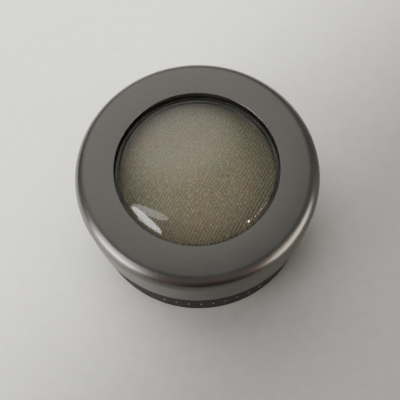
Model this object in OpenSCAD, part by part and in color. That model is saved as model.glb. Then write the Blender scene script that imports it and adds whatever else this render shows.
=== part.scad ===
// Round cosmetic pot with a screw lid: a satin metal cap with a domed window over
// a disc of baked powder, which sits on its tile in a threaded black base.
// Origin: middle of the underside. +Z is up, along the pot's axis. Millimetres.

/* [Overall] */
// Outside diameter of the lid
pot_d = 42; // [35:0.5:51]
// Height of the lid's flat rim above the surface that the pot stands on
rim_z = 19.7; // [16.4:0.1:24]

/* [Lid shell] */
// Width of the flat rim, from the outside of the lid to the edge of the window
rim_w = 6.95; // [5.8:0.05:8.4]
// Height of the metal, from the lower edge of its skirt to the flat rim
skirt_h = 9.4; // [7.8:0.1:11.3]
// Radius of the rounded top edge
edge_r = 2.25; // [1.8:0.05:2.7]
// Thickness of the sheet metal
shell_t = 0.5; // [0.4:0.05:0.6]

/* [Window] */
// Rise of the dome above its upright wall
lens_rise = 3.2; // [2.6:0.1:3.9]
// Height of the upright wall between the lens's flange and its dome
lens_wall_h = 0.3; // [0.2:0.05:0.4]
// Radius of the shoulder between the wall and the dome
lens_shoulder_r = 0.15; // [0.1:0.05:0.25]
// Thickness of the lens
lens_t = 0.8; // [0.6:0.1:1]
// Width of the flange that is clamped behind the edge of the window
lens_flange_w = 2.75; // [2.2:0.05:3.3]
// Gap between the foot of the dome and the edge of the window
lens_foot_gap = 0.75; // [0.6:0.05:0.9]
// Thickness of the gasket between the lens and the metal
gasket_t = 0.3; // [0.2:0.05:0.4]
// Distance that the gasket stands back from the edge of the window
gasket_setback = 0.25; // [0.2:0.05:0.3]

/* [Cap liner] */
// Wall of the plastic liner inside the metal
liner_wall = 1.35; // [1.1:0.05:1.65]
// Thickness of the liner's ring under the lens
liner_plate_t = 0.6; // [0.5:0.05:0.75]
// Distance that the hole in that ring stands back from the edge of the window
liner_hole_setback = 0.95; // [0.75:0.05:1.15]
// Thickness of the foam seal
seal_t = 0.7; // [0.5:0.05:0.9]

/* [Thread] */
// Rise of the lid in one turn
lead = 3; // [2.5:0.1:3.6]
// Height of each thread ridge above its wall
ridge_h = 0.75; // [0.6:0.05:0.9]
// Width of a ridge where it leaves the wall
ridge_base = 1.3; // [1.1:0.05:1.5]
// Width of a ridge at its crest
ridge_crest = 0.6; // [0.5:0.05:0.7]
// Running clearance of the thread
thread_gap = 0.3; // [0.25:0.05:0.35]
// Length of plain neck below the thread
neck_run_in = 1.05; // [0.8:0.05:1.3]
// Length of plain neck above the thread
neck_run_out = 0.6; // [0.4:0.05:0.8]

/* [Base] */
// Distance that the base's side stands in from the lid's
base_inset = 0.4; // [0.2:0.05:0.6]
// Gap between the closed lid and the base
lid_gap = 0.2; // [0.15:0.05:0.3]
// Wall and floor of the outer cup
cup_wall = 1.2; // [1:0.05:1.45]
// Radius of the outer cup's lower edge
foot_edge_r = 0.4; // [0.3:0.05:0.5]
// Width of the ring that the pot stands on
foot_w = 2.4; // [2:0.1:2.9]
// Depth of the recess for the label
foot_recess = 0.5; // [0.4:0.05:0.6]
// Thickness of the label
label_t = 0.1; // [0.08:0.02:0.16]
// Width of the bare ring between the label and the edge of its recess
label_margin = 1.6; // [1.2:0.1:2]
// Wall of the threaded neck
neck_wall = 1.15; // [0.95:0.05:1.4]
// Thickness of the shoulder round the neck and of the floor in it
insert_t = 1.2; // [1:0.05:1.45]
// Wall of the insert where it stands inside the outer cup
insert_wall = 1; // [0.8:0.05:1.2]

/* [Powder] */
// Distance that the powder reaches past the edge of the window
powder_overhang = 0.15; // [0.1:0.05:0.3]
// Rise of the powder's dome above its edge
powder_rise = 2.5; // [2:0.1:2.9]
// Height of the powder's upright side
powder_side = 1.7; // [1.4:0.1:2.1]
// Distance that the tile reaches past the powder
tile_overhang = 0.7; // [0.55:0.05:0.85]
// Thickness of the tile
tile_t = 3.6; // [3:0.1:4.3]
// Thickness of the adhesive pad
pad_t = 0.4; // [0.3:0.05:0.5]
// Depth of the collar's face below the top of the neck, and of the powder's edge below that
collar_drop = 0.45; // [0.35:0.05:0.5]
// Thickness of the collar round the powder
collar_t = 1.2; // [1:0.05:1.45]
// Wall of the collar where it stands round the tile
collar_wall = 1; // [0.6:0.05:1.2]

/* [Hidden] */

$fn = 128;
fit = 0.05;           // slip between pieces that are pushed together
powder_gap = 0.15;    // gap between the powder and its collar
seal_gap = 0.2;       // gap between the seal's outside and the liner
thread_step = 10;     // degrees between the sections of a ridge
thread_fade = 30;     // degrees over which a ridge fades out at each end
thread_root = 0.25;   // depth to which a ridge is rooted in its wall

// Lid, from the outside in
lid_r = pot_d / 2;
window_r = lid_r - rim_w;
lens_r = window_r + lens_flange_w;
lens_foot_r = window_r - lens_foot_gap;
lens_ball_r = cap_ball_r(lens_foot_r, lens_rise);
liner_r = lid_r - shell_t - fit;
liner_bore_r = liner_r - liner_wall;
liner_hole_r = window_r + liner_hole_setback;

// Neck and thread, which follow from the liner's bore
neck_crest_r = liner_bore_r - thread_gap;
neck_r = neck_crest_r - ridge_h;
liner_crest_r = neck_r + thread_gap;
neck_bore_r = neck_r - neck_wall;

// Base and powder
base_r = lid_r - base_inset;
cup_bore_r = base_r - cup_wall;
insert_r = cup_bore_r - fit;
label_recess_r = base_r - foot_w;
powder_r = window_r + powder_overhang;
tile_r = powder_r + tile_overhang;
collar_bore_r = powder_r + powder_gap;
collar_leg_r = min(tile_r + fit + collar_wall, neck_bore_r - fit);

// Heights, from the rim down through the window to the powder
shell_under_z = rim_z - shell_t;
lens_top_z = shell_under_z - gasket_t;
lens_apex_z = lens_top_z + lens_wall_h + lens_rise;
lens_z = lens_top_z - lens_t;
plate_z = lens_z - liner_plate_t;
neck_top_z = plate_z - seal_t;
collar_top_z = neck_top_z - collar_drop;
powder_edge_z = collar_top_z - collar_drop;
tile_top_z = powder_edge_z - powder_side;
tile_z = tile_top_z - tile_t;
well_z = tile_z - pad_t;

// Heights of the skirt and of the base
skirt_z = rim_z - skirt_h;
liner_z = skirt_z + lid_gap;
base_top_z = skirt_z - lid_gap;
shoulder_z = base_top_z - insert_t;
cup_floor_z = foot_recess + cup_wall;

// Both ridges run along the same helix: the lid's passes below the neck's
neck_ridge_z = base_top_z + neck_run_in + ridge_base / 2;
ridge_rise = neck_top_z - neck_run_out - ridge_base / 2 - neck_ridge_z;
ridge_mesh_w = ridge_base + ridge_crest - (ridge_base - ridge_crest) * thread_gap / ridge_h;
liner_ridge_z = liner_z + neck_run_out + ridge_base / 2;
liner_ridge_turn = 360 * (liner_ridge_z - neck_ridge_z + ridge_mesh_w / 2 + thread_gap) / lead;

// Radius of a ball that has a cap of this foot radius and rise
function cap_ball_r(foot, rise) = (foot * foot + rise * rise) / (2 * rise);

// Half section of a ring
module ring_section(r0, r1, z0, z1) {
    translate([r0, z0]) square([r1 - r0, z1 - z0]);
}

// Half section of a solid disc with its upper edge rounded
module round_top_section(r, z0, z1, edge) {
    ring_section(0, r, z0, z1 - edge);
    ring_section(0, r - edge, z0, z1);
    translate([r - edge, z1 - edge]) circle(edge);
}

// Half section of a cap of a ball on a foot circle
module dome_section(foot, rise, foot_z) {
    ball_r = cap_ball_r(foot, rise);
    intersection() {
        translate([0, foot_z + rise - ball_r]) circle(ball_r, $fn = 256);
        ring_section(0, foot, foot_z, foot_z + rise);
    }
}

// Half section of an upright wall under a cap of a ball, with a rounded shoulder between them
module shoulder_dome_section(r, ball_r, apex_z, shoulder, z) {
    ball_z = apex_z - ball_r;
    mid_r = r - shoulder;
    mid_z = ball_z + sqrt(pow(ball_r - shoulder, 2) - mid_r * mid_r);
    ring_section(0, r, z, mid_z);
    translate([mid_r, mid_z]) circle(shoulder);
    intersection() {
        translate([0, ball_z]) circle(ball_r, $fn = 256);
        ring_section(0, mid_r * ball_r / (ball_r - shoulder), z, apex_z);
    }
}

// Helical ridge that grows from r_wall to r_crest and starts at height z, angle turn.
// The crest of a ridge that grows inwards is moved out by the bow of its chords.
module ridge(r_wall, r_crest, z, turn) {
    outward = r_crest > r_wall ? 1 : -1;
    r_root = r_wall - outward * thread_root;
    sweep = 360 * ridge_rise / lead;
    steps = ceil(sweep / thread_step);
    r_end = outward > 0 ? r_crest : r_crest / cos(sweep / steps / 2);
    points = [for (i = [0 : steps])
        let (at = sweep * i / steps,
             fade = min(1, 0.05 + min(at, sweep - at) / thread_fade),
             r = r_wall + (r_end - r_wall) * fade,
             mid_z = z + lead * at / 360)
        for (p = [[r_root, -ridge_base / 2], [r, -ridge_crest / 2],
                  [r, ridge_crest / 2], [r_root, ridge_base / 2]])
            [p[0] * cos(turn + at), p[0] * sin(turn + at), mid_z + p[1]]];
    sides = [for (i = [0 : steps - 1], k = [0 : 3])
        let (a = 4 * i + k, b = 4 * i + (k + 1) % 4)
        for (f = [[a, b, b + 4], [a, b + 4, a + 4]]) f];
    last = 4 * steps;
    ends = [[0, 2, 1], [0, 3, 2], [last, last + 1, last + 2], [last, last + 2, last + 3]];
    faces = concat(sides, ends);
    polyhedron(points, outward > 0 ? faces : [for (f = faces) [f[2], f[1], f[0]]]);
}

// Satin metal cap with the window's hole in its flat rim
module lid_shell() color("#71706c") {
    rotate_extrude() difference() {
        round_top_section(lid_r, skirt_z, rim_z, edge_r);
        round_top_section(lid_r - shell_t, skirt_z - 1, shell_under_z, edge_r - shell_t);
        ring_section(0, window_r, skirt_z, rim_z + 1);
    }
}

// Thin black ring between the lens's flange and the metal
module window_gasket() color("#1c1b1b") {
    rotate_extrude() ring_section(window_r + gasket_setback, lens_r, lens_top_z, shell_under_z);
}

// Clear lens: a dome on a low wall, which stands through the window on a flat flange
module window_lens() color("#dfe3e2", 0.35) {
    rotate_extrude() difference() {
        union() {
            ring_section(0, lens_r, lens_z, lens_top_z);
            shoulder_dome_section(lens_foot_r, lens_ball_r, lens_apex_z, lens_shoulder_r, lens_z);
        }
        intersection() {
            translate([0, lens_apex_z - lens_ball_r]) circle(lens_ball_r - lens_t, $fn = 256);
            ring_section(0, lens_r, lens_z - 1, lens_apex_z);
        }
    }
}

// Black inner cap: it holds the lens up against the metal and carries the lid's thread
module lid_liner() color("#242322") {
    rotate_extrude() difference() {
        round_top_section(liner_r, liner_z, shell_under_z - fit, edge_r - shell_t - fit);
        ring_section(0, liner_bore_r, liner_z - 1, plate_z);
        ring_section(0, liner_hole_r, liner_z, rim_z);
        ring_section(0, lens_r + fit, lens_z, rim_z);
    }
    ridge(liner_bore_r, liner_crest_r, liner_ridge_z, liner_ridge_turn);
}

// Foam ring between the liner and the top of the neck
module seal_ring() color("#3a3836") {
    rotate_extrude() ring_section(liner_hole_r + seal_gap, liner_bore_r - seal_gap, neck_top_z, plate_z);
}

// Black outer cup of the base, recessed underneath for the label
module base_cup() color("#2c2d29") {
    rotate_extrude() difference() {
        union() {
            ring_section(0, base_r, foot_edge_r, base_top_z);
            ring_section(0, base_r - foot_edge_r, 0, base_top_z);
            translate([base_r - foot_edge_r, foot_edge_r]) circle(foot_edge_r);
        }
        ring_section(0, cup_bore_r, cup_floor_z, base_top_z + 1);
        ring_section(0, label_recess_r, -1, foot_recess);
    }
}

// Black insert: shoulder, threaded neck and the floor that the powder stands on
module neck_insert() color("#262523") {
    rotate_extrude() {
        ring_section(insert_r - insert_wall, insert_r, cup_floor_z, base_top_z);
        ring_section(neck_bore_r, insert_r, shoulder_z, base_top_z);
        ring_section(neck_bore_r, neck_r, min(shoulder_z, well_z - insert_t), neck_top_z);
        ring_section(0, neck_r, well_z - insert_t, well_z);
    }
    ridge(neck_r, neck_crest_r, neck_ridge_z, 0);
}

// Black collar pressed into the neck: it keeps the tile down and frames the powder
module powder_collar() color("#201f1e") {
    rotate_extrude() {
        ring_section(collar_bore_r, neck_bore_r - fit, collar_top_z - collar_t, collar_top_z);
        ring_section(collar_bore_r, collar_leg_r, tile_top_z, collar_top_z);
        ring_section(tile_r + fit, collar_leg_r, well_z, collar_top_z);
    }
}

// Domed disc of baked powder
module powder() color("#6a6757") {
    rotate_extrude() {
        ring_section(0, powder_r, tile_top_z, powder_edge_z);
        dome_section(powder_r, powder_rise, powder_edge_z);
    }
}

// Terracotta tile that the powder is baked on
module powder_tile() color("#a8644a") {
    translate([0, 0, tile_z]) cylinder(h = tile_t, r = tile_r);
}

// Adhesive pad under the tile
module tile_pad() color("#e6e2d8") {
    translate([0, 0, well_z]) cylinder(h = pad_t, r = tile_r - tile_overhang);
}

// Plain label in the recess under the base
module base_label() color("#e9e9e6") {
    translate([0, 0, foot_recess - label_t]) cylinder(h = label_t, r = label_recess_r - label_margin);
}

lid_shell();
window_gasket();
window_lens();
lid_liner();
seal_ring();
base_cup();
neck_insert();
powder_collar();
powder();
powder_tile();
tile_pad();
base_label();
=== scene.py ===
"""A round cosmetic pot with a screw lid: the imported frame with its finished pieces, materials and stage.

The file is laid out as an add-on and run as a script. Each operator makes one piece, or one group of like
pieces, round the CAD nodes of the frame, in the frame's own metres: +Z is up, along the pot's axis.
"""

from math import asin, ceil, cos, hypot, pi, radians, sin, sqrt, tan

import bpy
from bpy.props import FloatProperty, FloatVectorProperty, IntProperty, PointerProperty
from mathutils import Euler, Matrix, Vector, noise


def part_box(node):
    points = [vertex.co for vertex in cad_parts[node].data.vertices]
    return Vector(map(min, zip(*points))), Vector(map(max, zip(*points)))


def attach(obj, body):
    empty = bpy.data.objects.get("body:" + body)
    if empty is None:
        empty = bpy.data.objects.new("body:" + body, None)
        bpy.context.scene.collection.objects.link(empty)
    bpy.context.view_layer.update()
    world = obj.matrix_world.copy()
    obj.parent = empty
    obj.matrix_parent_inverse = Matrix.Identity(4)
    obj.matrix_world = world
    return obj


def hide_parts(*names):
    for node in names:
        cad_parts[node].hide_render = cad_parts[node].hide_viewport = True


bl_info = {
    "name": "Cosmetic pot",
    "version": (1, 0, 0),
    "blender": (4, 5, 0),
    "location": "View3D > Sidebar > Pot",
    "description": "Builds a cosmetic pot with a metal screw lid, a domed window and baked powder",
    "category": "Add Mesh",
}

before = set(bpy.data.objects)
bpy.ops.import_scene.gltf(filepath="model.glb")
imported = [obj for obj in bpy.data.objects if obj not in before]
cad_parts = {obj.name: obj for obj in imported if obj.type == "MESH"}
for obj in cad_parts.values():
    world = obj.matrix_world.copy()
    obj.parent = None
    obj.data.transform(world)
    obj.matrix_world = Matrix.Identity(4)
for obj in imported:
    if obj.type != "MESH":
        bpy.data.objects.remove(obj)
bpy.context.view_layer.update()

MM = 0.001
SPIN_STEPS = 192            # steps of a turned piece
DOME_STEPS = 80             # steps from the middle of the lens to its shoulder
SMOOTH_ANGLE = radians(32)  # edges sharper than this stay sharp


def node_span(node):
    """Outer radius, lowest and highest point of a CAD node that is centred on the axis."""
    low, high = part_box(node)
    return high[0], low[2], high[2]


LID_R, SKIRT_Z, RIM_Z = node_span("lid_shell")
LENS_R, LENS_Z, LENS_APEX_Z = node_span("window_lens")
_, LENS_TOP_Z, SHELL_UNDER_Z = node_span("window_gasket")
SEAL_R, NECK_TOP_Z, PLATE_Z = node_span("seal_ring")
BASE_R, _, BASE_TOP_Z = node_span("base_cup")
COLLAR_R, WELL_Z, COLLAR_TOP_Z = node_span("powder_collar")
POWDER_R, TILE_TOP_Z, POWDER_APEX_Z = node_span("powder")
TILE_R, _, _ = node_span("powder_tile")
_, _, RECESS_Z = node_span("base_label")
LINER_R, LINER_Z, LINER_TOP_Z = node_span("lid_liner")
INSERT_R, INSERT_Z, _ = node_span("neck_insert")

FIT = 0.05 * MM           # slip between pieces that are pushed together
HOLE_SETBACK = 0.95 * MM  # the hole in the liner stands this far back from the window

# The screw thread: both ridges run along one helix, the lid's below the neck's
NECK_R = 18.05 * MM
LINER_BORE_R = 19.1 * MM
RIDGE_H = 0.75 * MM       # height above its wall
RIDGE_BASE_W = 1.3 * MM   # width where it leaves the wall
RIDGE_CREST_W = 0.6 * MM
RIDGE_RISE = 3.75 * MM    # rise from one end to the other
THREAD_GAP = 0.3 * MM     # running clearance
LEAD = 3 * MM             # rise in a full turn
NECK_RIDGE_Z = BASE_TOP_Z + 1.7 * MM
LINER_RIDGE_Z = LINER_Z + 1.25 * MM


# ---------------------------------------------------------------- sizes and colours

class PotLid(bpy.types.PropertyGroup):
    """Sizes of the metal shell and of the lens."""
    flange_w: FloatProperty(
        name="Flange width", description="Width of the lens's flange behind the rim",
        default=2.75 * MM, min=2 * MM, max=4 * MM, unit="LENGTH")
    edge_r: FloatProperty(
        name="Edge radius", description="Radius of the shell's rounded top edge",
        default=2.25 * MM, min=1 * MM, max=3 * MM, unit="LENGTH")
    trim_r: FloatProperty(
        name="Trimmed edge radius", description="Radius left on the shell's trimmed edges",
        default=0.07 * MM, min=0.02 * MM, max=0.2 * MM, unit="LENGTH")
    lens_t: FloatProperty(
        name="Lens thickness", description="Thickness of the lens's wall",
        default=0.8 * MM, min=0.4 * MM, max=1.5 * MM, unit="LENGTH")
    foot_gap: FloatProperty(
        name="Dome foot gap", description="Gap between the dome's foot and the window's edge",
        default=0.75 * MM, min=0.1 * MM, max=1 * MM, unit="LENGTH")
    dome_rise: FloatProperty(
        name="Dome rise", description="Rise that the dome would have on the foot circle of its wall",
        default=3.2 * MM, min=2.6 * MM, max=3.9 * MM, unit="LENGTH")
    shoulder_r: FloatProperty(
        name="Shoulder radius", description="Radius between the lens's upright wall and its dome",
        default=0.15 * MM, min=0.1 * MM, max=0.25 * MM, unit="LENGTH")
    foot_r: FloatProperty(
        name="Dome foot radius", description="Radius of the hollow where the wall meets the flange",
        default=0.06 * MM, min=0.02 * MM, max=0.1 * MM, unit="LENGTH")


class PotBase(bpy.types.PropertyGroup):
    """Sizes of the outer cup and the printed marks."""
    wall: FloatProperty(
        name="Cup wall", description="Wall and floor of the outer cup",
        default=1.2 * MM, min=0.8 * MM, max=2 * MM, unit="LENGTH")
    foot_w: FloatProperty(
        name="Standing ring", description="Width of the ring that the pot stands on",
        default=2.4 * MM, min=1 * MM, max=4 * MM, unit="LENGTH")
    edge_r: FloatProperty(
        name="Edge radius", description="Radius of the cup's lower edge",
        default=0.4 * MM, min=0.1 * MM, max=0.8 * MM, unit="LENGTH")
    marks: IntProperty(
        name="Marks", description="Number of printed marks in the row round the front",
        default=9, min=0, max=40)
    marks_start: FloatProperty(
        name="First mark", description="Angle of the first mark, from the front towards the right",
        default=radians(-20), subtype="ANGLE")
    marks_end: FloatProperty(
        name="Last mark", description="Angle of the last mark, from the front towards the right",
        default=radians(30), subtype="ANGLE")
    mark_w: FloatProperty(
        name="Mark width", description="Width of a printed mark",
        default=0.26 * MM, min=0.1 * MM, max=1 * MM, unit="LENGTH")
    mark_h: FloatProperty(
        name="Mark height", description="Height of a printed mark",
        default=0.9 * MM, min=0.1 * MM, max=3 * MM, unit="LENGTH")


class PotPowder(bpy.types.PropertyGroup):
    """Sizes of the powder and of the weave that its die presses into it."""
    edge_z: FloatProperty(
        name="Side height", description="Height of the powder's upright side",
        default=1.7 * MM, min=1 * MM, max=3 * MM, unit="LENGTH")
    rib_pitch: FloatProperty(
        name="Rib pitch", description="Distance between the ribs of the twill",
        default=0.52 * MM, min=0.3 * MM, max=1 * MM, unit="LENGTH")
    rib_angle: FloatProperty(
        name="Rib angle", description="Direction of the ribs, from the right-hand side",
        default=radians(58), subtype="ANGLE")
    rib_depth: FloatProperty(
        name="Rib depth", description="Depth of the hollows between the ribs",
        default=0.075 * MM, min=0, max=0.2 * MM, unit="LENGTH")
    shoulder_r: FloatProperty(
        name="Shoulder radius", description="Radius of the powder's rounded edge",
        default=1.1 * MM, min=0.2 * MM, max=2 * MM, unit="LENGTH")
    cells: IntProperty(
        name="Cells", description="Cells across the powder's face",
        default=280, min=40, max=300)


def colour_property(name, description, code):
    """An sRGB colour that the sidebar shows as a swatch."""
    return FloatVectorProperty(
        name=name, description=description, subtype="COLOR_GAMMA", size=3, min=0, max=1,
        default=tuple(int(code[i:i + 2], 16) / 255 for i in (1, 3, 5)))


class PotColours(bpy.types.PropertyGroup):
    """Colours that a user would change."""
    metal: colour_property("Metal", "Anodised aluminium of the lid", "#74726f")
    plastic: colour_property("Plastic", "Black plastic of the base and the liner", "#232322")
    powder: colour_property("Powder", "Baked powder", "#625d4a")
    powder_warm: colour_property("Warm powder", "Warmer patches of the baked powder", "#665b49")
    pearl: colour_property("Pearl", "Mica flakes in the powder", "#9a947c")
    ink: colour_property("Ink", "Printed marks on the base", "#8f8f8b")
    floor: colour_property("Floor", "Paper under the pot", "#ebeae7")


# ---------------------------------------------------------------- materials

def linear(colour):
    """An sRGB hex code, or three sRGB numbers, as a linear colour with alpha."""
    if isinstance(colour, str):
        colour = [int(colour[i:i + 2], 16) / 255 for i in (1, 3, 5)]
    return [c / 12.92 if c <= 0.04045 else ((c + 0.055) / 1.055) ** 2.4 for c in colour] + [1.0]


def add_node(tree, kind, inputs=None, **settings):
    """Adds a node; inputs maps sockets to values, or to the sockets that feed them."""
    node = tree.nodes.new(kind)
    for name, value in settings.items():
        setattr(node, name, value)
    for name, value in (inputs or {}).items():
        if isinstance(value, bpy.types.NodeSocket):
            tree.links.new(value, node.inputs[name])
        else:
            node.inputs[name].default_value = value
    return node


def blank_material(name):
    """A node material with nothing but its output, and that output."""
    material = bpy.data.materials.new(name)
    material.use_nodes = True
    material.node_tree.nodes.clear()
    return material, add_node(material.node_tree, "ShaderNodeOutputMaterial")


def grains(size_mm):
    """Texture scale on Object coordinates, in metres, for grains of this size."""
    return 1 / (size_mm * MM)


def satin_anodised_aluminium(colours):
    """Deep-drawn aluminium, bead-blasted and anodised grey: a broad soft sheen with a fine even grit."""
    material, output = blank_material("satin_anodised_aluminium")
    tree = material.node_tree
    place = add_node(tree, "ShaderNodeTexCoord").outputs["Object"]
    grit = add_node(tree, "ShaderNodeTexNoise", {
        "Vector": place, "Scale": grains(0.22), "Detail": 3.0, "Roughness": 0.6})
    cloud = add_node(tree, "ShaderNodeTexNoise", {
        "Vector": place, "Scale": grains(9), "Detail": 2.0, "Roughness": 0.5})
    shade = add_node(tree, "ShaderNodeMapRange", {
        "Value": grit.outputs["Fac"], "From Min": 0.3, "From Max": 0.7, "To Min": 0.93, "To Max": 1.05})
    tone = add_node(tree, "ShaderNodeMapRange", {
        "Value": cloud.outputs["Fac"], "From Min": 0.35, "From Max": 0.65, "To Min": 0.97, "To Max": 1.03})
    both = add_node(tree, "ShaderNodeMath", {
        0: shade.outputs["Result"], 1: tone.outputs["Result"]}, operation="MULTIPLY")
    colour = add_node(tree, "ShaderNodeVectorMath", {
        0: linear(colours.metal)[:3], "Scale": both.outputs["Value"]}, operation="SCALE")
    rough = add_node(tree, "ShaderNodeMapRange", {
        "Value": cloud.outputs["Fac"], "From Min": 0.3, "From Max": 0.7, "To Min": 0.26, "To Max": 0.32})
    bump = add_node(tree, "ShaderNodeBump", {
        "Height": grit.outputs["Fac"], "Strength": 0.12, "Distance": 0.02 * MM})
    shader = add_node(tree, "ShaderNodeBsdfPrincipled", {
        "Base Color": colour.outputs["Vector"], "Metallic": 1.0, "Specular Tint": linear("#e6e5e4"),
        "Roughness": rough.outputs["Result"], "Normal": bump.outputs["Normal"]})
    tree.links.new(shader.outputs["BSDF"], output.inputs["Surface"])
    return material


def moulded_acrylic():
    """Injection-moulded clear acrylic, polished by its tool: water-clear, with sharp reflections.

    Rays from lamps and from dull surfaces pass straight through, so what lies behind is lit evenly.
    """
    material, output = blank_material("moulded_acrylic")
    tree = material.node_tree
    shader = add_node(tree, "ShaderNodeBsdfPrincipled", {
        "Base Color": linear("#fbfcfb"), "Roughness": 0.03, "IOR": 1.49, "Transmission Weight": 1.0})
    clear = add_node(tree, "ShaderNodeBsdfTransparent", {"Color": linear("#f6f7f6")})
    rays = add_node(tree, "ShaderNodeLightPath")
    through = add_node(tree, "ShaderNodeMath", {
        0: rays.outputs["Is Shadow Ray"], 1: rays.outputs["Is Diffuse Ray"]}, operation="MAXIMUM")
    surface = add_node(tree, "ShaderNodeMixShader", {
        0: through.outputs["Value"], 1: shader.outputs["BSDF"], 2: clear.outputs["BSDF"]})
    tree.links.new(surface.outputs["Shader"], output.inputs["Surface"])
    return material


def moulded_plastic(name, colour, roughness, grain_mm, depth_mm, specular=0.5):
    """Injection-moulded black plastic: even, and faintly mottled by the grain of its tool."""
    material, output = blank_material(name)
    tree = material.node_tree
    place = add_node(tree, "ShaderNodeTexCoord").outputs["Object"]
    grain = add_node(tree, "ShaderNodeTexNoise", {
        "Vector": place, "Scale": grains(grain_mm), "Detail": 2.0, "Roughness": 0.5})
    tint = add_node(tree, "ShaderNodeMapRange", {
        "Value": grain.outputs["Fac"], "From Min": 0.3, "From Max": 0.7, "To Min": 0.9, "To Max": 1.1})
    base = add_node(tree, "ShaderNodeVectorMath", {
        0: linear(colour)[:3], "Scale": tint.outputs["Result"]}, operation="SCALE")
    rough = add_node(tree, "ShaderNodeMapRange", {
        "Value": grain.outputs["Fac"], "From Min": 0.3, "From Max": 0.7,
        "To Min": roughness - 0.04, "To Max": roughness + 0.04})
    bump = add_node(tree, "ShaderNodeBump", {
        "Height": grain.outputs["Fac"], "Strength": 0.2, "Distance": depth_mm * MM})
    shader = add_node(tree, "ShaderNodeBsdfPrincipled", {
        "Base Color": base.outputs["Vector"], "Roughness": rough.outputs["Result"],
        "IOR": 1.5, "Specular IOR Level": specular, "Normal": bump.outputs["Normal"]})
    tree.links.new(shader.outputs["BSDF"], output.inputs["Surface"])
    return material


def baked_pearl_powder(colours):
    """Mica and talc, wet-moulded under cloth and baked: chalky, with a soft pearl and fine flakes.

    The mesh's own "hollow" attribute is 1 at the bottom of the cloth's print; there the colour is painted
    darker, as painted shade where less light gets in, and on the ribs it is painted a little lighter, as
    painted light.
    """
    material, output = blank_material("baked_pearl_powder")
    tree = material.node_tree
    place = add_node(tree, "ShaderNodeTexCoord").outputs["Object"]
    hollow = add_node(tree, "ShaderNodeAttribute", attribute_name="hollow")
    flakes = add_node(tree, "ShaderNodeTexVoronoi", {
        "Vector": place, "Scale": grains(0.18), "Randomness": 1.0}, feature="F1")
    lot = add_node(tree, "ShaderNodeSeparateColor", {"Color": flakes.outputs["Color"]})
    glint = add_node(tree, "ShaderNodeMapRange", {
        "Value": lot.outputs["Red"], "From Min": 0.5, "From Max": 1.0, "To Min": 0.0, "To Max": 0.4})
    grain = add_node(tree, "ShaderNodeTexNoise", {
        "Vector": place, "Scale": grains(0.35), "Detail": 3.0, "Roughness": 0.7})
    mottle = add_node(tree, "ShaderNodeTexNoise", {
        "Vector": place, "Scale": grains(4), "Detail": 2.0, "Roughness": 0.5})
    tint = add_node(tree, "ShaderNodeMapRange", {
        "Value": grain.outputs["Fac"], "From Min": 0.3, "From Max": 0.7, "To Min": 0.72, "To Max": 1.2})
    # Painted shade: the colour darkens in the hollows of the cloth's print and lightens on its ribs
    shade = add_node(tree, "ShaderNodeMapRange", {
        "Value": hollow.outputs["Fac"], "To Min": 1.12, "To Max": 0.52})
    tone_and_painted_shade = add_node(tree, "ShaderNodeMath", {
        0: tint.outputs["Result"], 1: shade.outputs["Result"]}, operation="MULTIPLY")
    warmth = add_node(tree, "ShaderNodeMapRange", {
        "Value": mottle.outputs["Fac"], "From Min": 0.35, "From Max": 0.65})
    ground = add_node(tree, "ShaderNodeMix", {
        0: warmth.outputs["Result"], 6: linear(colours.powder), 7: linear(colours.powder_warm)},
        data_type="RGBA")
    flecked = add_node(tree, "ShaderNodeMix", {
        0: glint.outputs["Result"], 6: ground.outputs[2], 7: linear(colours.pearl)}, data_type="RGBA")
    colour = add_node(tree, "ShaderNodeVectorMath", {
        0: flecked.outputs[2], "Scale": tone_and_painted_shade.outputs["Value"]}, operation="SCALE")
    rough = add_node(tree, "ShaderNodeMapRange", {
        "Value": lot.outputs["Green"], "To Min": 0.45, "To Max": 0.65})
    bump = add_node(tree, "ShaderNodeBump", {
        "Height": grain.outputs["Fac"], "Strength": 0.35, "Distance": 0.03 * MM})
    shader = add_node(tree, "ShaderNodeBsdfPrincipled", {
        "Base Color": colour.outputs["Vector"], "Metallic": 0.45, "Roughness": rough.outputs["Result"],
        "Normal": bump.outputs["Normal"]})
    tree.links.new(shader.outputs["BSDF"], output.inputs["Surface"])
    return material


def speckled(name, colours_from, grain_mm, roughness, depth_mm):
    """A dull material whose colour and height wander between two tones at one grain size."""
    material, output = blank_material(name)
    tree = material.node_tree
    place = add_node(tree, "ShaderNodeTexCoord").outputs["Object"]
    grain = add_node(tree, "ShaderNodeTexNoise", {
        "Vector": place, "Scale": grains(grain_mm), "Detail": 4.0, "Roughness": 0.65})
    spread = add_node(tree, "ShaderNodeMapRange", {
        "Value": grain.outputs["Fac"], "From Min": 0.3, "From Max": 0.7})
    colour = add_node(tree, "ShaderNodeMix", {
        0: spread.outputs["Result"], 6: linear(colours_from[0]), 7: linear(colours_from[1])},
        data_type="RGBA")
    bump = add_node(tree, "ShaderNodeBump", {
        "Height": grain.outputs["Fac"], "Strength": 0.5, "Distance": depth_mm * MM})
    shader = add_node(tree, "ShaderNodeBsdfPrincipled", {
        "Base Color": colour.outputs[2], "Roughness": roughness, "Normal": bump.outputs["Normal"]})
    tree.links.new(shader.outputs["BSDF"], output.inputs["Surface"])
    return material


# ---------------------------------------------------------------- modelling tools

def deselect():
    """Nothing selected, object mode, no active object."""
    if bpy.context.object and bpy.context.object.mode != "OBJECT":
        bpy.ops.object.mode_set(mode="OBJECT")
    bpy.ops.object.select_all(action="DESELECT")
    bpy.context.view_layer.objects.active = None


def finish_piece(piece, name, body, slot, material, *nodes):
    """Names a piece, gives it its material, and says what it rides on and what it stands for."""
    bpy.ops.object.mode_set(mode="OBJECT")
    bpy.ops.object.transform_apply(location=True, rotation=True, scale=True)
    bpy.ops.object.shade_smooth_by_angle(angle=SMOOTH_ANGLE)
    piece.name = piece.data.name = name
    piece.data.materials.clear()
    piece.data.materials.append(material)
    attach(piece, body)
    if nodes:
        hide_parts(*nodes)
    deselect()


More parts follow.
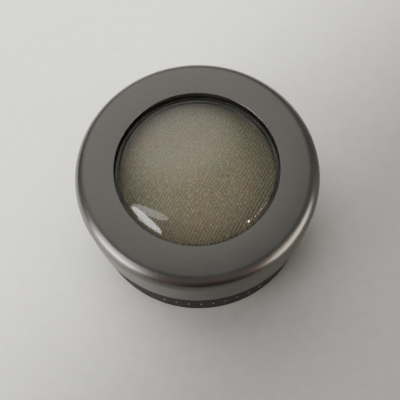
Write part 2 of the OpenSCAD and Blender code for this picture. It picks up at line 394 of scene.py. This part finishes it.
def arc(centre, radius, start, end, steps):
    """Points from one angle to another round a centre, both ends included."""
    return [
        (centre[0] + radius * cos(start + (end - start) * i / steps),
         centre[1] + radius * sin(start + (end - start) * i / steps))
        for i in range(steps + 1)]


def rounded(corners, closed=True, step=radians(9)):
    """Outline through (r, z, corner radius) corners, each rounded to an arc of its radius."""
    points = []
    count = len(corners)
    for i, (r, z, radius) in enumerate(corners):
        here = Vector((r, z))
        if radius <= 0 or (not closed and i in (0, count - 1)):
            points.append((r, z))
            continue
        back = (Vector(corners[i - 1][:2]) - here).normalized()
        ahead = (Vector(corners[(i + 1) % count][:2]) - here).normalized()
        half = back.angle(ahead) / 2
        centre = here + (back + ahead).normalized() * (radius / sin(half))
        first = here + back * (radius / tan(half)) - centre
        last = here + ahead * (radius / tan(half)) - centre
        turn = first.angle_signed(last)
        steps = max(2, ceil(abs(turn) / step))
        for k in range(steps + 1):
            spoke = first.copy()
            spoke.rotate(Matrix.Rotation(-turn * k / steps, 2))
            points.append(tuple(centre + spoke))
    return points + points[:1] if closed else points


def drawn(outline):
    """Draws an outline point by point in the plane of the axis, and stays in edit mode."""
    deselect()
    bpy.ops.mesh.primitive_plane_add(size=MM, location=(0, 0, 0))
    piece = bpy.context.object
    bpy.ops.object.mode_set(mode="EDIT")
    bpy.ops.mesh.merge(type="CENTER")
    at = outline[0]
    bpy.ops.transform.translate(value=(at[0], 0, at[1]))
    for point in outline[1:]:
        bpy.ops.mesh.extrude_vertices_move(
            TRANSFORM_OT_translate={"value": (point[0] - at[0], 0, point[1] - at[1])})
        at = point
    return piece


def turned(outline, steps=SPIN_STEPS):
    """Spins a half section round the axis, as on a lathe."""
    piece = drawn(outline)
    bpy.ops.mesh.select_all(action="SELECT")
    bpy.ops.mesh.spin(steps=steps, angle=2 * pi, center=(0, 0, 0), axis=(0, 0, 1))
    bpy.ops.mesh.select_all(action="SELECT")
    bpy.ops.mesh.remove_doubles(threshold=0.001 * MM)
    bpy.ops.mesh.normals_make_consistent(inside=False)
    return piece


def add_ridge(body, wall_r, crest_r, start_z, start):
    """Winds a thread's ridge onto a turned body, from a height and an angle, faded out at both ends."""
    root, crest_edge = 0.25 * MM, 0.12 * MM
    steps, fade_angle, fade_from = 150, radians(30), 0.05
    sweep = 2 * pi * RIDGE_RISE / LEAD
    outward = 1 if crest_r > wall_r else -1
    root_r = wall_r - outward * root
    deselect()
    ridge = drawn(rounded([
        (root_r, start_z - RIDGE_BASE_W / 2, 0), (crest_r, start_z - RIDGE_CREST_W / 2, crest_edge),
        (crest_r, start_z + RIDGE_CREST_W / 2, crest_edge), (root_r, start_z + RIDGE_BASE_W / 2, 0)]))
    bpy.ops.mesh.select_all(action="SELECT")
    bpy.ops.mesh.remove_doubles(threshold=0.001 * MM)
    bpy.ops.object.mode_set(mode="OBJECT")
    section = len(ridge.data.vertices)
    bpy.ops.object.modifier_add(type="SCREW")
    screw = ridge.modifiers[-1]
    screw.angle, screw.screw_offset = sweep, RIDGE_RISE
    screw.steps = screw.render_steps = steps
    screw.use_merge_vertices = False
    bpy.ops.object.modifier_apply(modifier=screw.name)
    # The modifier lays the section's points down step by step, so a point's number gives its angle
    for i, vertex in enumerate(ridge.data.vertices):
        at = sweep * (i // section) / steps
        fade = min(1, fade_from + min(at, sweep - at) / fade_angle)
        r = hypot(vertex.co.x, vertex.co.y)
        if (r - wall_r) * outward > 0:
            faded = (wall_r + (r - wall_r) * fade) / r
            vertex.co.x, vertex.co.y = vertex.co.x * faded, vertex.co.y * faded
    ridge.rotation_euler = (0, 0, start)
    bpy.ops.object.transform_apply(location=True, rotation=True, scale=True)
    bpy.ops.object.mode_set(mode="EDIT")
    bpy.ops.mesh.select_all(action="SELECT")
    bpy.ops.mesh.fill_holes(sides=0)
    bpy.ops.mesh.select_all(action="SELECT")
    bpy.ops.mesh.normals_make_consistent(inside=False)
    bpy.ops.object.mode_set(mode="OBJECT")
    deselect()
    ridge.select_set(True)
    body.select_set(True)
    bpy.context.view_layer.objects.active = body
    bpy.ops.object.join()


def dress_node(node, material):
    """Gives a CAD node that stays as it is a better material."""
    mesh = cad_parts[node].data
    mesh.materials.clear()
    mesh.materials.append(material)


# ---------------------------------------------------------------- pieces

class POT_OT_lid_shell(bpy.types.Operator):
    """Turn the metal shell: flat rim, rounded edge, straight skirt and trimmed window"""
    bl_idname = "pot.lid_shell"
    bl_label = "Lid shell"

    def execute(self, context):
        lid = context.scene.pot_lid
        wall = RIM_Z - SHELL_UNDER_Z
        window_r = LENS_R - lid.flange_w
        trim = lid.trim_r
        piece = turned(rounded([
            (LID_R - wall, SKIRT_Z, trim), (LID_R, SKIRT_Z, trim),
            (LID_R, RIM_Z, lid.edge_r), (window_r, RIM_Z, trim),
            (window_r, SHELL_UNDER_Z, trim / 2), (LID_R - wall, SHELL_UNDER_Z, lid.edge_r - wall)]))
        finish_piece(piece, "lid_metal_shell", "lid", "satin_aluminium",
                     satin_anodised_aluminium(context.scene.pot_colours), "lid_shell")
        return {"FINISHED"}


class POT_OT_window(bpy.types.Operator):
    """Turn the domed lens on its flange, and dress the gasket behind it"""
    bl_idname = "pot.window"
    bl_label = "Window"

    def dome(self, wall_r, ball, apex, shoulder):
        """Half section of a ball's cap, from its apex down over a rounded shoulder to its upright wall."""
        middle = (wall_r - shoulder, apex - ball + sqrt((ball - shoulder) ** 2 - (wall_r - shoulder) ** 2))
        meets = pi / 2 - asin(middle[0] / (ball - shoulder))
        return (arc((0, apex - ball), ball, pi / 2, meets, DOME_STEPS)
                + arc(middle, shoulder, meets, 0, 10)[1:])

    def execute(self, context):
        lid = context.scene.pot_lid
        foot = LENS_R - lid.flange_w - lid.foot_gap
        ball = (foot * foot + lid.dome_rise ** 2) / (2 * lid.dome_rise)
        outside = self.dome(foot, ball, LENS_APEX_Z, lid.shoulder_r)
        inner = ball - lid.lens_t
        inner_foot = sqrt(inner ** 2 - (LENS_Z - LENS_APEX_Z + ball) ** 2)
        inside = arc((0, LENS_APEX_Z - ball), inner, pi / 2 - asin(inner_foot / inner), pi / 2, DOME_STEPS)
        flange_edge = 0.08 * MM
        corners = (
            [(r, z, 0) for r, z in outside]
            + [(foot, LENS_TOP_Z, lid.foot_r), (LENS_R, LENS_TOP_Z, flange_edge),
               (LENS_R, LENS_Z, flange_edge)]
            + [(r, z, 0) for r, z in inside])
        # A mirror-smooth dome needs finer steps than the dull pieces, or its reflections break up
        piece = turned(rounded(corners, closed=False), 2 * SPIN_STEPS)
        finish_piece(piece, "window_dome", "lid", "clear_lens", moulded_acrylic(), "window_lens")
        dress_node("window_gasket", speckled(
            "die_cut_rubber_film", ("#161616", "#1f1e1e"), 0.4, 0.6, 0.01))
        return {"FINISHED"}


class POT_OT_lid_liner(bpy.types.Operator):
    """Turn the liner inside the shell and wind its thread"""
    bl_idname = "pot.lid_liner"
    bl_label = "Lid liner"

    def execute(self, context):
        pocket_r = LENS_R + FIT
        hole_r = LENS_R - context.scene.pot_lid.flange_w + HOLE_SETBACK
        edge, mouth_edge, top_edge = 0.1 * MM, 0.15 * MM, 1.7 * MM
        piece = turned(rounded([
            (hole_r, PLATE_Z, edge), (LINER_BORE_R, PLATE_Z, edge), (LINER_BORE_R, LINER_Z, mouth_edge),
            (LINER_R, LINER_Z, mouth_edge), (LINER_R, LINER_TOP_Z, top_edge),
            (pocket_r, LINER_TOP_Z, edge / 2), (pocket_r, LENS_Z, 0), (hole_r, LENS_Z, edge)]))
        # The lid's ridge passes below the neck's, by half of both widths where they mesh and the clearance
        mesh_w = RIDGE_BASE_W + RIDGE_CREST_W - (RIDGE_BASE_W - RIDGE_CREST_W) * THREAD_GAP / RIDGE_H
        turn = 2 * pi * (LINER_RIDGE_Z - NECK_RIDGE_Z + mesh_w / 2 + THREAD_GAP) / LEAD
        add_ridge(piece, LINER_BORE_R, NECK_R + THREAD_GAP, LINER_RIDGE_Z, turn)
        finish_piece(piece, "lid_inner_cap", "lid", "liner_black", moulded_plastic(
            "black_polypropylene", context.scene.pot_colours.plastic, 0.42, 0.3, 0.01), "lid_liner")
        return {"FINISHED"}


class POT_OT_seal_ring(bpy.types.Operator):
    """Turn the foam ring with its edges a little rounded by the die"""
    bl_idname = "pot.seal_ring"
    bl_label = "Seal ring"

    def execute(self, context):
        low, high = NECK_TOP_Z, PLATE_Z
        gap, edge = 0.2 * MM, 0.12 * MM
        inner_r = LENS_R - context.scene.pot_lid.flange_w + HOLE_SETBACK + gap
        piece = turned(rounded([
            (inner_r, low, edge), (SEAL_R, low, edge), (SEAL_R, high, edge), (inner_r, high, edge)]))
        # Closed-cell polyethylene foam: fine cells that scatter light, so dull and a little uneven
        finish_piece(piece, "foam_seal", "seal", "seal_foam", speckled(
            "closed_cell_foam", ("#2c2b2a", "#454341"), 0.18, 0.85, 0.05), "seal_ring")
        return {"FINISHED"}


class POT_OT_base_cup(bpy.types.Operator):
    """Turn the outer cup with its standing ring and the recess for the label"""
    bl_idname = "pot.base_cup"
    bl_label = "Base cup"

    def execute(self, context):
        base = context.scene.pot_base
        bore = BASE_R - base.wall
        floor_z = RECESS_Z + base.wall
        recess_r = BASE_R - base.foot_w
        rim = 0.15 * MM
        piece = turned(rounded([
            (0, floor_z, 0), (bore, floor_z, 0.3 * MM), (bore, BASE_TOP_Z, rim),
            (BASE_R, BASE_TOP_Z, rim), (BASE_R, 0, base.edge_r), (recess_r, 0, base.edge_r / 2),
            (recess_r, RECESS_Z, rim), (0, RECESS_Z, 0)], closed=False))
        finish_piece(piece, "base_outer_cup", "base", "base_black", moulded_plastic(
            "black_abs", context.scene.pot_colours.plastic, 0.6, 0.35, 0.01, 0.12), "base_cup")
        dress_node("base_label", speckled(
            "coated_label_paper", ("#e6e6e2", "#efefec"), 0.5, 0.45, 0.004))
        return {"FINISHED"}


class POT_OT_marks(bpy.types.Operator):
    """Print a row of plain upright marks on the front of the base"""
    bl_idname = "pot.marks"
    bl_label = "Printed marks"

    def execute(self, context):
        base = context.scene.pot_base
        ink_t = 0.02 * MM
        height = 0.42 * BASE_TOP_Z
        marks = []
        for i in range(base.marks):
            turn = base.marks_start + (base.marks_end - base.marks_start) * i / max(1, base.marks - 1)
            deselect()
            bpy.ops.mesh.primitive_cylinder_add(
                vertices=12, radius=base.mark_w / 2, depth=2 * ink_t,
                location=(0, -BASE_R, height), rotation=(pi / 2, 0, 0))
            mark = bpy.context.object
            bpy.ops.object.transform_apply(location=True, rotation=True, scale=True)
            bpy.ops.object.mode_set(mode="EDIT")
            bpy.ops.mesh.select_all(action="DESELECT")
            bpy.ops.object.mode_set(mode="OBJECT")
            for vertex in mark.data.vertices:
                vertex.select = vertex.co.z > height + 0.001 * MM
            bpy.ops.object.mode_set(mode="EDIT")
            bpy.ops.transform.translate(value=(0, 0, base.mark_h - base.mark_w))
            bpy.ops.object.mode_set(mode="OBJECT")
            mark.rotation_euler = (0, 0, turn)
            bpy.ops.object.transform_apply(location=True, rotation=True, scale=True)
            marks.append(mark)
        deselect()
        for mark in marks:
            mark.select_set(True)
        context.view_layer.objects.active = marks[0]
        bpy.ops.object.join()
        # Pad-printed ink: a thin dull film that barely stands on the plastic
        finish_piece(context.object, "printed_marks", "base", "label_white", speckled(
            "pad_printing_ink", (context.scene.pot_colours.ink,) * 2, 0.2, 0.5, 0.004))
        return {"FINISHED"}


class POT_OT_neck_insert(bpy.types.Operator):
    """Turn the insert and wind its thread, and dress the parts that lie hidden in it"""
    bl_idname = "pot.neck_insert"
    bl_label = "Neck insert"

    def execute(self, context):
        neck_wall, skirt_wall, thick, edge = 1.15 * MM, 1 * MM, 1.2 * MM, 0.1 * MM
        bore_r = NECK_R - neck_wall
        skirt_r = INSERT_R - skirt_wall
        floor_z = WELL_Z - thick
        shoulder_z = BASE_TOP_Z - thick
        piece = turned(rounded([
            (0, floor_z, 0), (bore_r, floor_z, 0), (bore_r, shoulder_z, 0), (skirt_r, shoulder_z, edge),
            (skirt_r, INSERT_Z, 0), (INSERT_R, INSERT_Z, 0), (INSERT_R, BASE_TOP_Z, edge),
            (NECK_R, BASE_TOP_Z, 2 * edge), (NECK_R, NECK_TOP_Z, 1.5 * edge),
            (bore_r, NECK_TOP_Z, 1.5 * edge), (bore_r, WELL_Z, 0), (0, WELL_Z, 0)], closed=False))
        add_ridge(piece, NECK_R, NECK_R + RIDGE_H, NECK_RIDGE_Z, 0)
        finish_piece(piece, "threaded_neck", "base", "insert_black", moulded_plastic(
            "black_polypropylene_neck", context.scene.pot_colours.plastic, 0.4, 0.3, 0.01), "neck_insert")
        # Fired terracotta: open, gritty and dull
        dress_node("powder_tile", speckled("fired_terracotta", ("#9a5a41", "#b9745a"), 0.25, 0.9, 0.03))
        # Acrylic foam tape: milky and soft
        dress_node("tile_pad", speckled("acrylic_foam_tape", ("#dedacf", "#ece9e0"), 0.3, 0.7, 0.02))
        return {"FINISHED"}


class POT_OT_powder_collar(bpy.types.Operator):
    """Turn the collar that frames the powder"""
    bl_idname = "pot.powder_collar"
    bl_label = "Powder collar"

    def execute(self, context):
        gap, leg_w, face_t, edge = 0.15 * MM, 1 * MM, 1.2 * MM, 0.25 * MM
        bore = POWDER_R + gap
        leg_in, leg_out = TILE_R + FIT, TILE_R + FIT + leg_w
        piece = turned(rounded([
            (bore, TILE_TOP_Z, 0.05 * MM), (leg_in, TILE_TOP_Z, 0), (leg_in, WELL_Z, 0.1 * MM),
            (leg_out, WELL_Z, 0.1 * MM), (leg_out, COLLAR_TOP_Z - face_t, 0.1 * MM),
            (COLLAR_R, COLLAR_TOP_Z - face_t, 0.1 * MM), (COLLAR_R, COLLAR_TOP_Z, edge / 2),
            (bore, COLLAR_TOP_Z, edge)]))
        finish_piece(piece, "powder_frame_ring", "base", "collar_black", moulded_plastic(
            "black_abs_collar", context.scene.pot_colours.plastic, 0.36, 0.3, 0.006), "powder_collar")
        return {"FINISHED"}


class POT_OT_powder(bpy.types.Operator):
    """Press the powder: a domed face with the ribs of a twill, and an upright side"""
    bl_idname = "pot.powder"
    bl_label = "Powder"

    def cloth(self, powder, x, y):
        """Height of the twill's print at a point, from 0 in its hollows to 1 on its ribs."""
        across = x * sin(powder.rib_angle) - y * cos(powder.rib_angle)
        along = x * cos(powder.rib_angle) + y * sin(powder.rib_angle)
        # The cloth was never stretched quite evenly, and the powder crumbled a little as it came off
        waver_size, crumble_size = 2.2 * MM, 0.28 * MM
        waver = 0.22 * noise.noise(Vector((x, y, 0)) / waver_size)
        crumble = 0.3 * noise.noise(Vector((x, y, 0)) / crumble_size)
        rib = across / powder.rib_pitch + waver
        # The yarn of a rib dips once in every float, a third further on in each next rib
        float_length = 1.4 * powder.rib_pitch
        dip = 0.5 - 0.5 * cos(2 * pi * (along / float_length + rib / 3))
        return (0.5 + 0.5 * cos(2 * pi * rib)) * (1 - 0.35 * dip) * 0.85 + crumble

    def face_height(self, powder, r):
        """Height of the powder's face at a radius: the dome and its rounded edge."""
        edge_z = TILE_TOP_Z + powder.edge_z
        rise = POWDER_APEX_Z - edge_z
        ball = (POWDER_R ** 2 + rise ** 2) / (2 * rise)
        inward = max(0.0, 1 - (POWDER_R - r) / powder.shoulder_r)
        drop = 0.7 * powder.shoulder_r * (1 - sqrt(1 - inward * inward))
        return POWDER_APEX_Z - ball + sqrt(ball * ball - r * r) - drop

    def execute(self, context):
        powder = context.scene.pot_powder
        deselect()
        bpy.ops.mesh.primitive_grid_add(
            x_subdivisions=powder.cells, y_subdivisions=powder.cells, size=2, location=(0, 0, 0))
        piece = context.object
        hollow = piece.data.attributes.new("hollow", "FLOAT", "POINT")
        # The square grid is drawn out to a disc, so its cells stay nearly square, then takes its heights
        for vertex, mark in zip(piece.data.vertices, hollow.data):
            u, v = vertex.co.x, vertex.co.y
            x = POWDER_R * u * sqrt(1 - v * v / 2)
            y = POWDER_R * v * sqrt(1 - u * u / 2)
            r = min(hypot(x, y), POWDER_R)
            fade = min(1.0, (POWDER_R - r) / powder.rib_pitch)
            # The ribs are made shallower towards the middle, and their painted shade fainter with them
            middle_fade = 0.45 + 0.55 * min(1.0, (r / (0.8 * POWDER_R)) ** 2)
            mark.value = (1 - self.cloth(powder, x, y)) * fade * middle_fade
            vertex.co = (x, y, self.face_height(powder, r) - powder.rib_depth * mark.value)
        bpy.ops.object.mode_set(mode="EDIT")
        bpy.ops.mesh.select_all(action="SELECT")
        bpy.ops.mesh.region_to_loop()
        bpy.ops.mesh.extrude_edges_move()
        bpy.ops.transform.resize(
            value=(1, 1, 0), center_override=(0, 0, TILE_TOP_Z))
        bpy.ops.mesh.edge_face_add()
        bpy.ops.mesh.select_all(action="SELECT")
        bpy.ops.mesh.normals_make_consistent(inside=False)
        finish_piece(piece, "pressed_powder", "base", "taupe_powder",
                     baked_pearl_powder(context.scene.pot_colours), "powder")
        return {"FINISHED"}


# ---------------------------------------------------------------- stage

class POT_OT_stage(bpy.types.Operator):
    """Lay the pale floor, and set the soft lights, the surroundings and the camera"""
    bl_idname = "pot.stage"
    bl_label = "Stage"

    def towards(self, azimuth, elevation):
        """Direction from the pot. Azimuth 0 is the front, 90 the right."""
        azimuth, elevation = radians(azimuth), radians(elevation)
        return Vector((sin(azimuth) * cos(elevation), -cos(azimuth) * cos(elevation), sin(elevation)))

    def lamp(self, name, shape, azimuth, elevation, tilt, size, radiance, colour, distance=0.45):
        """A soft lamp that faces the pot, tilted about its own axis."""
        direction = self.towards(azimuth, elevation)
        bpy.ops.object.light_add(type="AREA", location=direction * distance)
        light = bpy.context.object
        light.name = name
        turn = direction.to_track_quat("Z", "Y").to_matrix() @ Matrix.Rotation(radians(tilt), 3, "Z")
        light.rotation_euler = turn.to_euler()
        light.data.shape = shape
        light.data.size, light.data.size_y = size
        area = size[0] * size[1] * (pi / 4 if shape == "ELLIPSE" else 1)
        light.data.energy = radiance * area * pi
        light.data.color = linear(colour)[:3]
        return light

    def surroundings(self):
        """A room: lightest above and behind, and dark where someone stands in front."""
        world = bpy.data.worlds.new("room")
        bpy.context.scene.world = world
        world.use_nodes = True
        tree = world.node_tree
        tree.nodes.clear()
        ray = add_node(tree, "ShaderNodeTexCoord").outputs["Generated"]
        back = add_node(tree, "ShaderNodeVectorMath", {
            0: ray, 1: self.towards(-165, 45)}, operation="DOT_PRODUCT")
        level = add_node(tree, "ShaderNodeMapRange", {
            "Value": back.outputs["Value"], "From Min": 0.7, "From Max": 1.0,
            "To Min": 0.26, "To Max": 1.02}, interpolation_type="SMOOTHSTEP")
        lit = add_node(tree, "ShaderNodeVectorMath", {
            0: linear("#fffffa")[:3], "Scale": level.outputs["Result"]}, operation="SCALE")
        surface = lit.outputs["Vector"]
        # Whoever stands in front: a wide brown shade, nearly black at the middle
        for colour, start, end in (("#a08c82", 0.4, 0.85), ("#54463f", 0.82, 0.97)):
            facing = add_node(tree, "ShaderNodeVectorMath", {
                0: ray, 1: self.towards(12, 10)}, operation="DOT_PRODUCT")
            shade = add_node(tree, "ShaderNodeMapRange", {
                "Value": facing.outputs["Value"], "From Min": start, "From Max": end},
                interpolation_type="SMOOTHSTEP")
            surface = add_node(tree, "ShaderNodeMix", {
                0: shade.outputs["Result"], 6: surface, 7: linear(colour)}, data_type="RGBA").outputs[2]
        light = add_node(tree, "ShaderNodeBackground", {"Color": surface, "Strength": 1.0})
        output = add_node(tree, "ShaderNodeOutputWorld")
        tree.links.new(light.outputs["Background"], output.inputs["Surface"])

    def paper_with_painted_shadow(self, paper):
        """Uncoated paper, dull with a faint tooth, with a painted shadow: its colour darkens from nearly
        white at the back left to grey at the front right.
        """
        material = speckled("uncoated_paper_painted_shadow", ([0.96 * c for c in paper], paper), 2.5, 0.9, 0.01)
        tree = material.node_tree
        place = add_node(tree, "ShaderNodeTexCoord").outputs["Object"]
        # Painted shadow: the paper's colour is darkened towards the front right, where the shade of
        # whoever stands in front falls
        along = add_node(tree, "ShaderNodeVectorMath", {
            0: place, 1: self.towards(45, 0)}, operation="DOT_PRODUCT")
        painted_shadow = add_node(tree, "ShaderNodeMapRange", {
            "Value": along.outputs["Value"], "From Min": -0.037, "From Max": 0.034,
            "To Min": 1.0, "To Max": 0.28}, interpolation_type="SMOOTHSTEP")
        shader = next(node for node in tree.nodes if node.type == "BSDF_PRINCIPLED")
        mixed = shader.inputs["Base Color"].links[0].from_socket
        shadowed_colour = add_node(tree, "ShaderNodeVectorMath", {
            0: mixed, "Scale": painted_shadow.outputs["Result"]}, operation="SCALE")
        tree.links.new(shadowed_colour.outputs["Vector"], shader.inputs["Base Color"])
        return material

    def execute(self, context):
        deselect()
        bpy.ops.mesh.primitive_plane_add(size=1.2, location=(0, 0, 0))
        floor = context.object
        floor.name = floor.data.name = "floor"
        floor.data.materials.append(self.paper_with_painted_shadow(context.scene.pot_colours.floor))
        self.surroundings()
        # The left window is a wide low pane, with two slips of light above it that cross like a V
        self.lamp("pane_left", "RECTANGLE", -62, 22, 0, (0.22, 0.2), 11, "#ffffff")
        self.lamp("slip_left", "ELLIPSE", -66.5, 46, 18, (0.24, 0.052), 7.5, "#ffffff")
        self.lamp("slip_top", "ELLIPSE", -72.5, 51.5, 44, (0.24, 0.044), 1.7, "#ffffff")
        # The right one is a wide low pane, with the gap over its blind and a bulb beside it
        self.lamp("pane_right", "RECTANGLE", 68, 22, 0, (0.3, 0.2), 5.2, "#fff8e8")
        self.lamp("gap_right", "ELLIPSE", 74.5, 42, -24, (0.2, 0.01), 6.5, "#fff8e8")
        self.lamp("bulb_right", "ELLIPSE", 59.5, 47, 0, (0.013, 0.013), 60, "#fffaf0")
        # The rest of the daylight is too even to see as a reflection, so it lights dull surfaces only
        sky = self.lamp("sky", "RECTANGLE", -150, 64, 0, (0.3, 0.3), 6.5, "#fffffb", 0.34)
        sky.visible_glossy = sky.visible_transmission = False
        # The camera stands over the front edge, turned a little about its own line of sight
        elevation, distance, roll = radians(69.45), 114.46 * MM, radians(-2.77)
        side, raised = 0.26 * MM, 1.13 * MM
        turn = Euler((pi / 2 - elevation, 0, 0)).to_matrix()
        place = turn @ Vector((side, raised, distance))
        bpy.ops.object.camera_add(location=place)
        camera = context.object
        camera.rotation_euler = (turn @ Matrix.Rotation(roll, 3, "Z")).to_euler()
        camera.data.lens = 51.3
        camera.data.sensor_width = 36
        camera.data.clip_start = 0.005
        context.scene.camera = camera
        deselect()
        return {"FINISHED"}


class POT_PT_panel(bpy.types.Panel):
    """Lists the pot's pieces, sizes and colours in the sidebar"""
    bl_label = "Cosmetic pot"
    bl_idname = "POT_PT_panel"
    bl_space_type = "VIEW_3D"
    bl_region_type = "UI"
    bl_category = "Pot"

    def draw(self, context):
        for operator in OPERATORS:
            self.layout.operator(operator.bl_idname)
        for name in ("pot_lid", "pot_base", "pot_powder", "pot_colours"):
            group = getattr(context.scene, name)
            for key in group.__annotations__:
                self.layout.prop(group, key)


GROUPS = {"pot_lid": PotLid, "pot_base": PotBase, "pot_powder": PotPowder, "pot_colours": PotColours}
OPERATORS = (
    POT_OT_stage, POT_OT_lid_shell, POT_OT_window, POT_OT_lid_liner, POT_OT_seal_ring,
    POT_OT_base_cup, POT_OT_marks, POT_OT_neck_insert, POT_OT_powder_collar, POT_OT_powder)


def register():
    for group in GROUPS.values():
        bpy.utils.register_class(group)
    for operator in OPERATORS:
        bpy.utils.register_class(operator)
    bpy.utils.register_class(POT_PT_panel)
    for name, group in GROUPS.items():
        setattr(bpy.types.Scene, name, PointerProperty(type=group))


def unregister():
    for name in GROUPS:
        delattr(bpy.types.Scene, name)
    bpy.utils.unregister_class(POT_PT_panel)
    for operator in reversed(OPERATORS):
        bpy.utils.unregister_class(operator)
    for group in reversed(GROUPS.values()):
        bpy.utils.unregister_class(group)


def main():
    register()
    bpy.ops.pot.stage()
    bpy.ops.pot.lid_shell()
    bpy.ops.pot.window()
    bpy.ops.pot.lid_liner()
    bpy.ops.pot.seal_ring()
    bpy.ops.pot.base_cup()
    bpy.ops.pot.marks()
    bpy.ops.pot.neck_insert()
    bpy.ops.pot.powder_collar()
    bpy.ops.pot.powder()


if __name__ == "__main__":
    main()
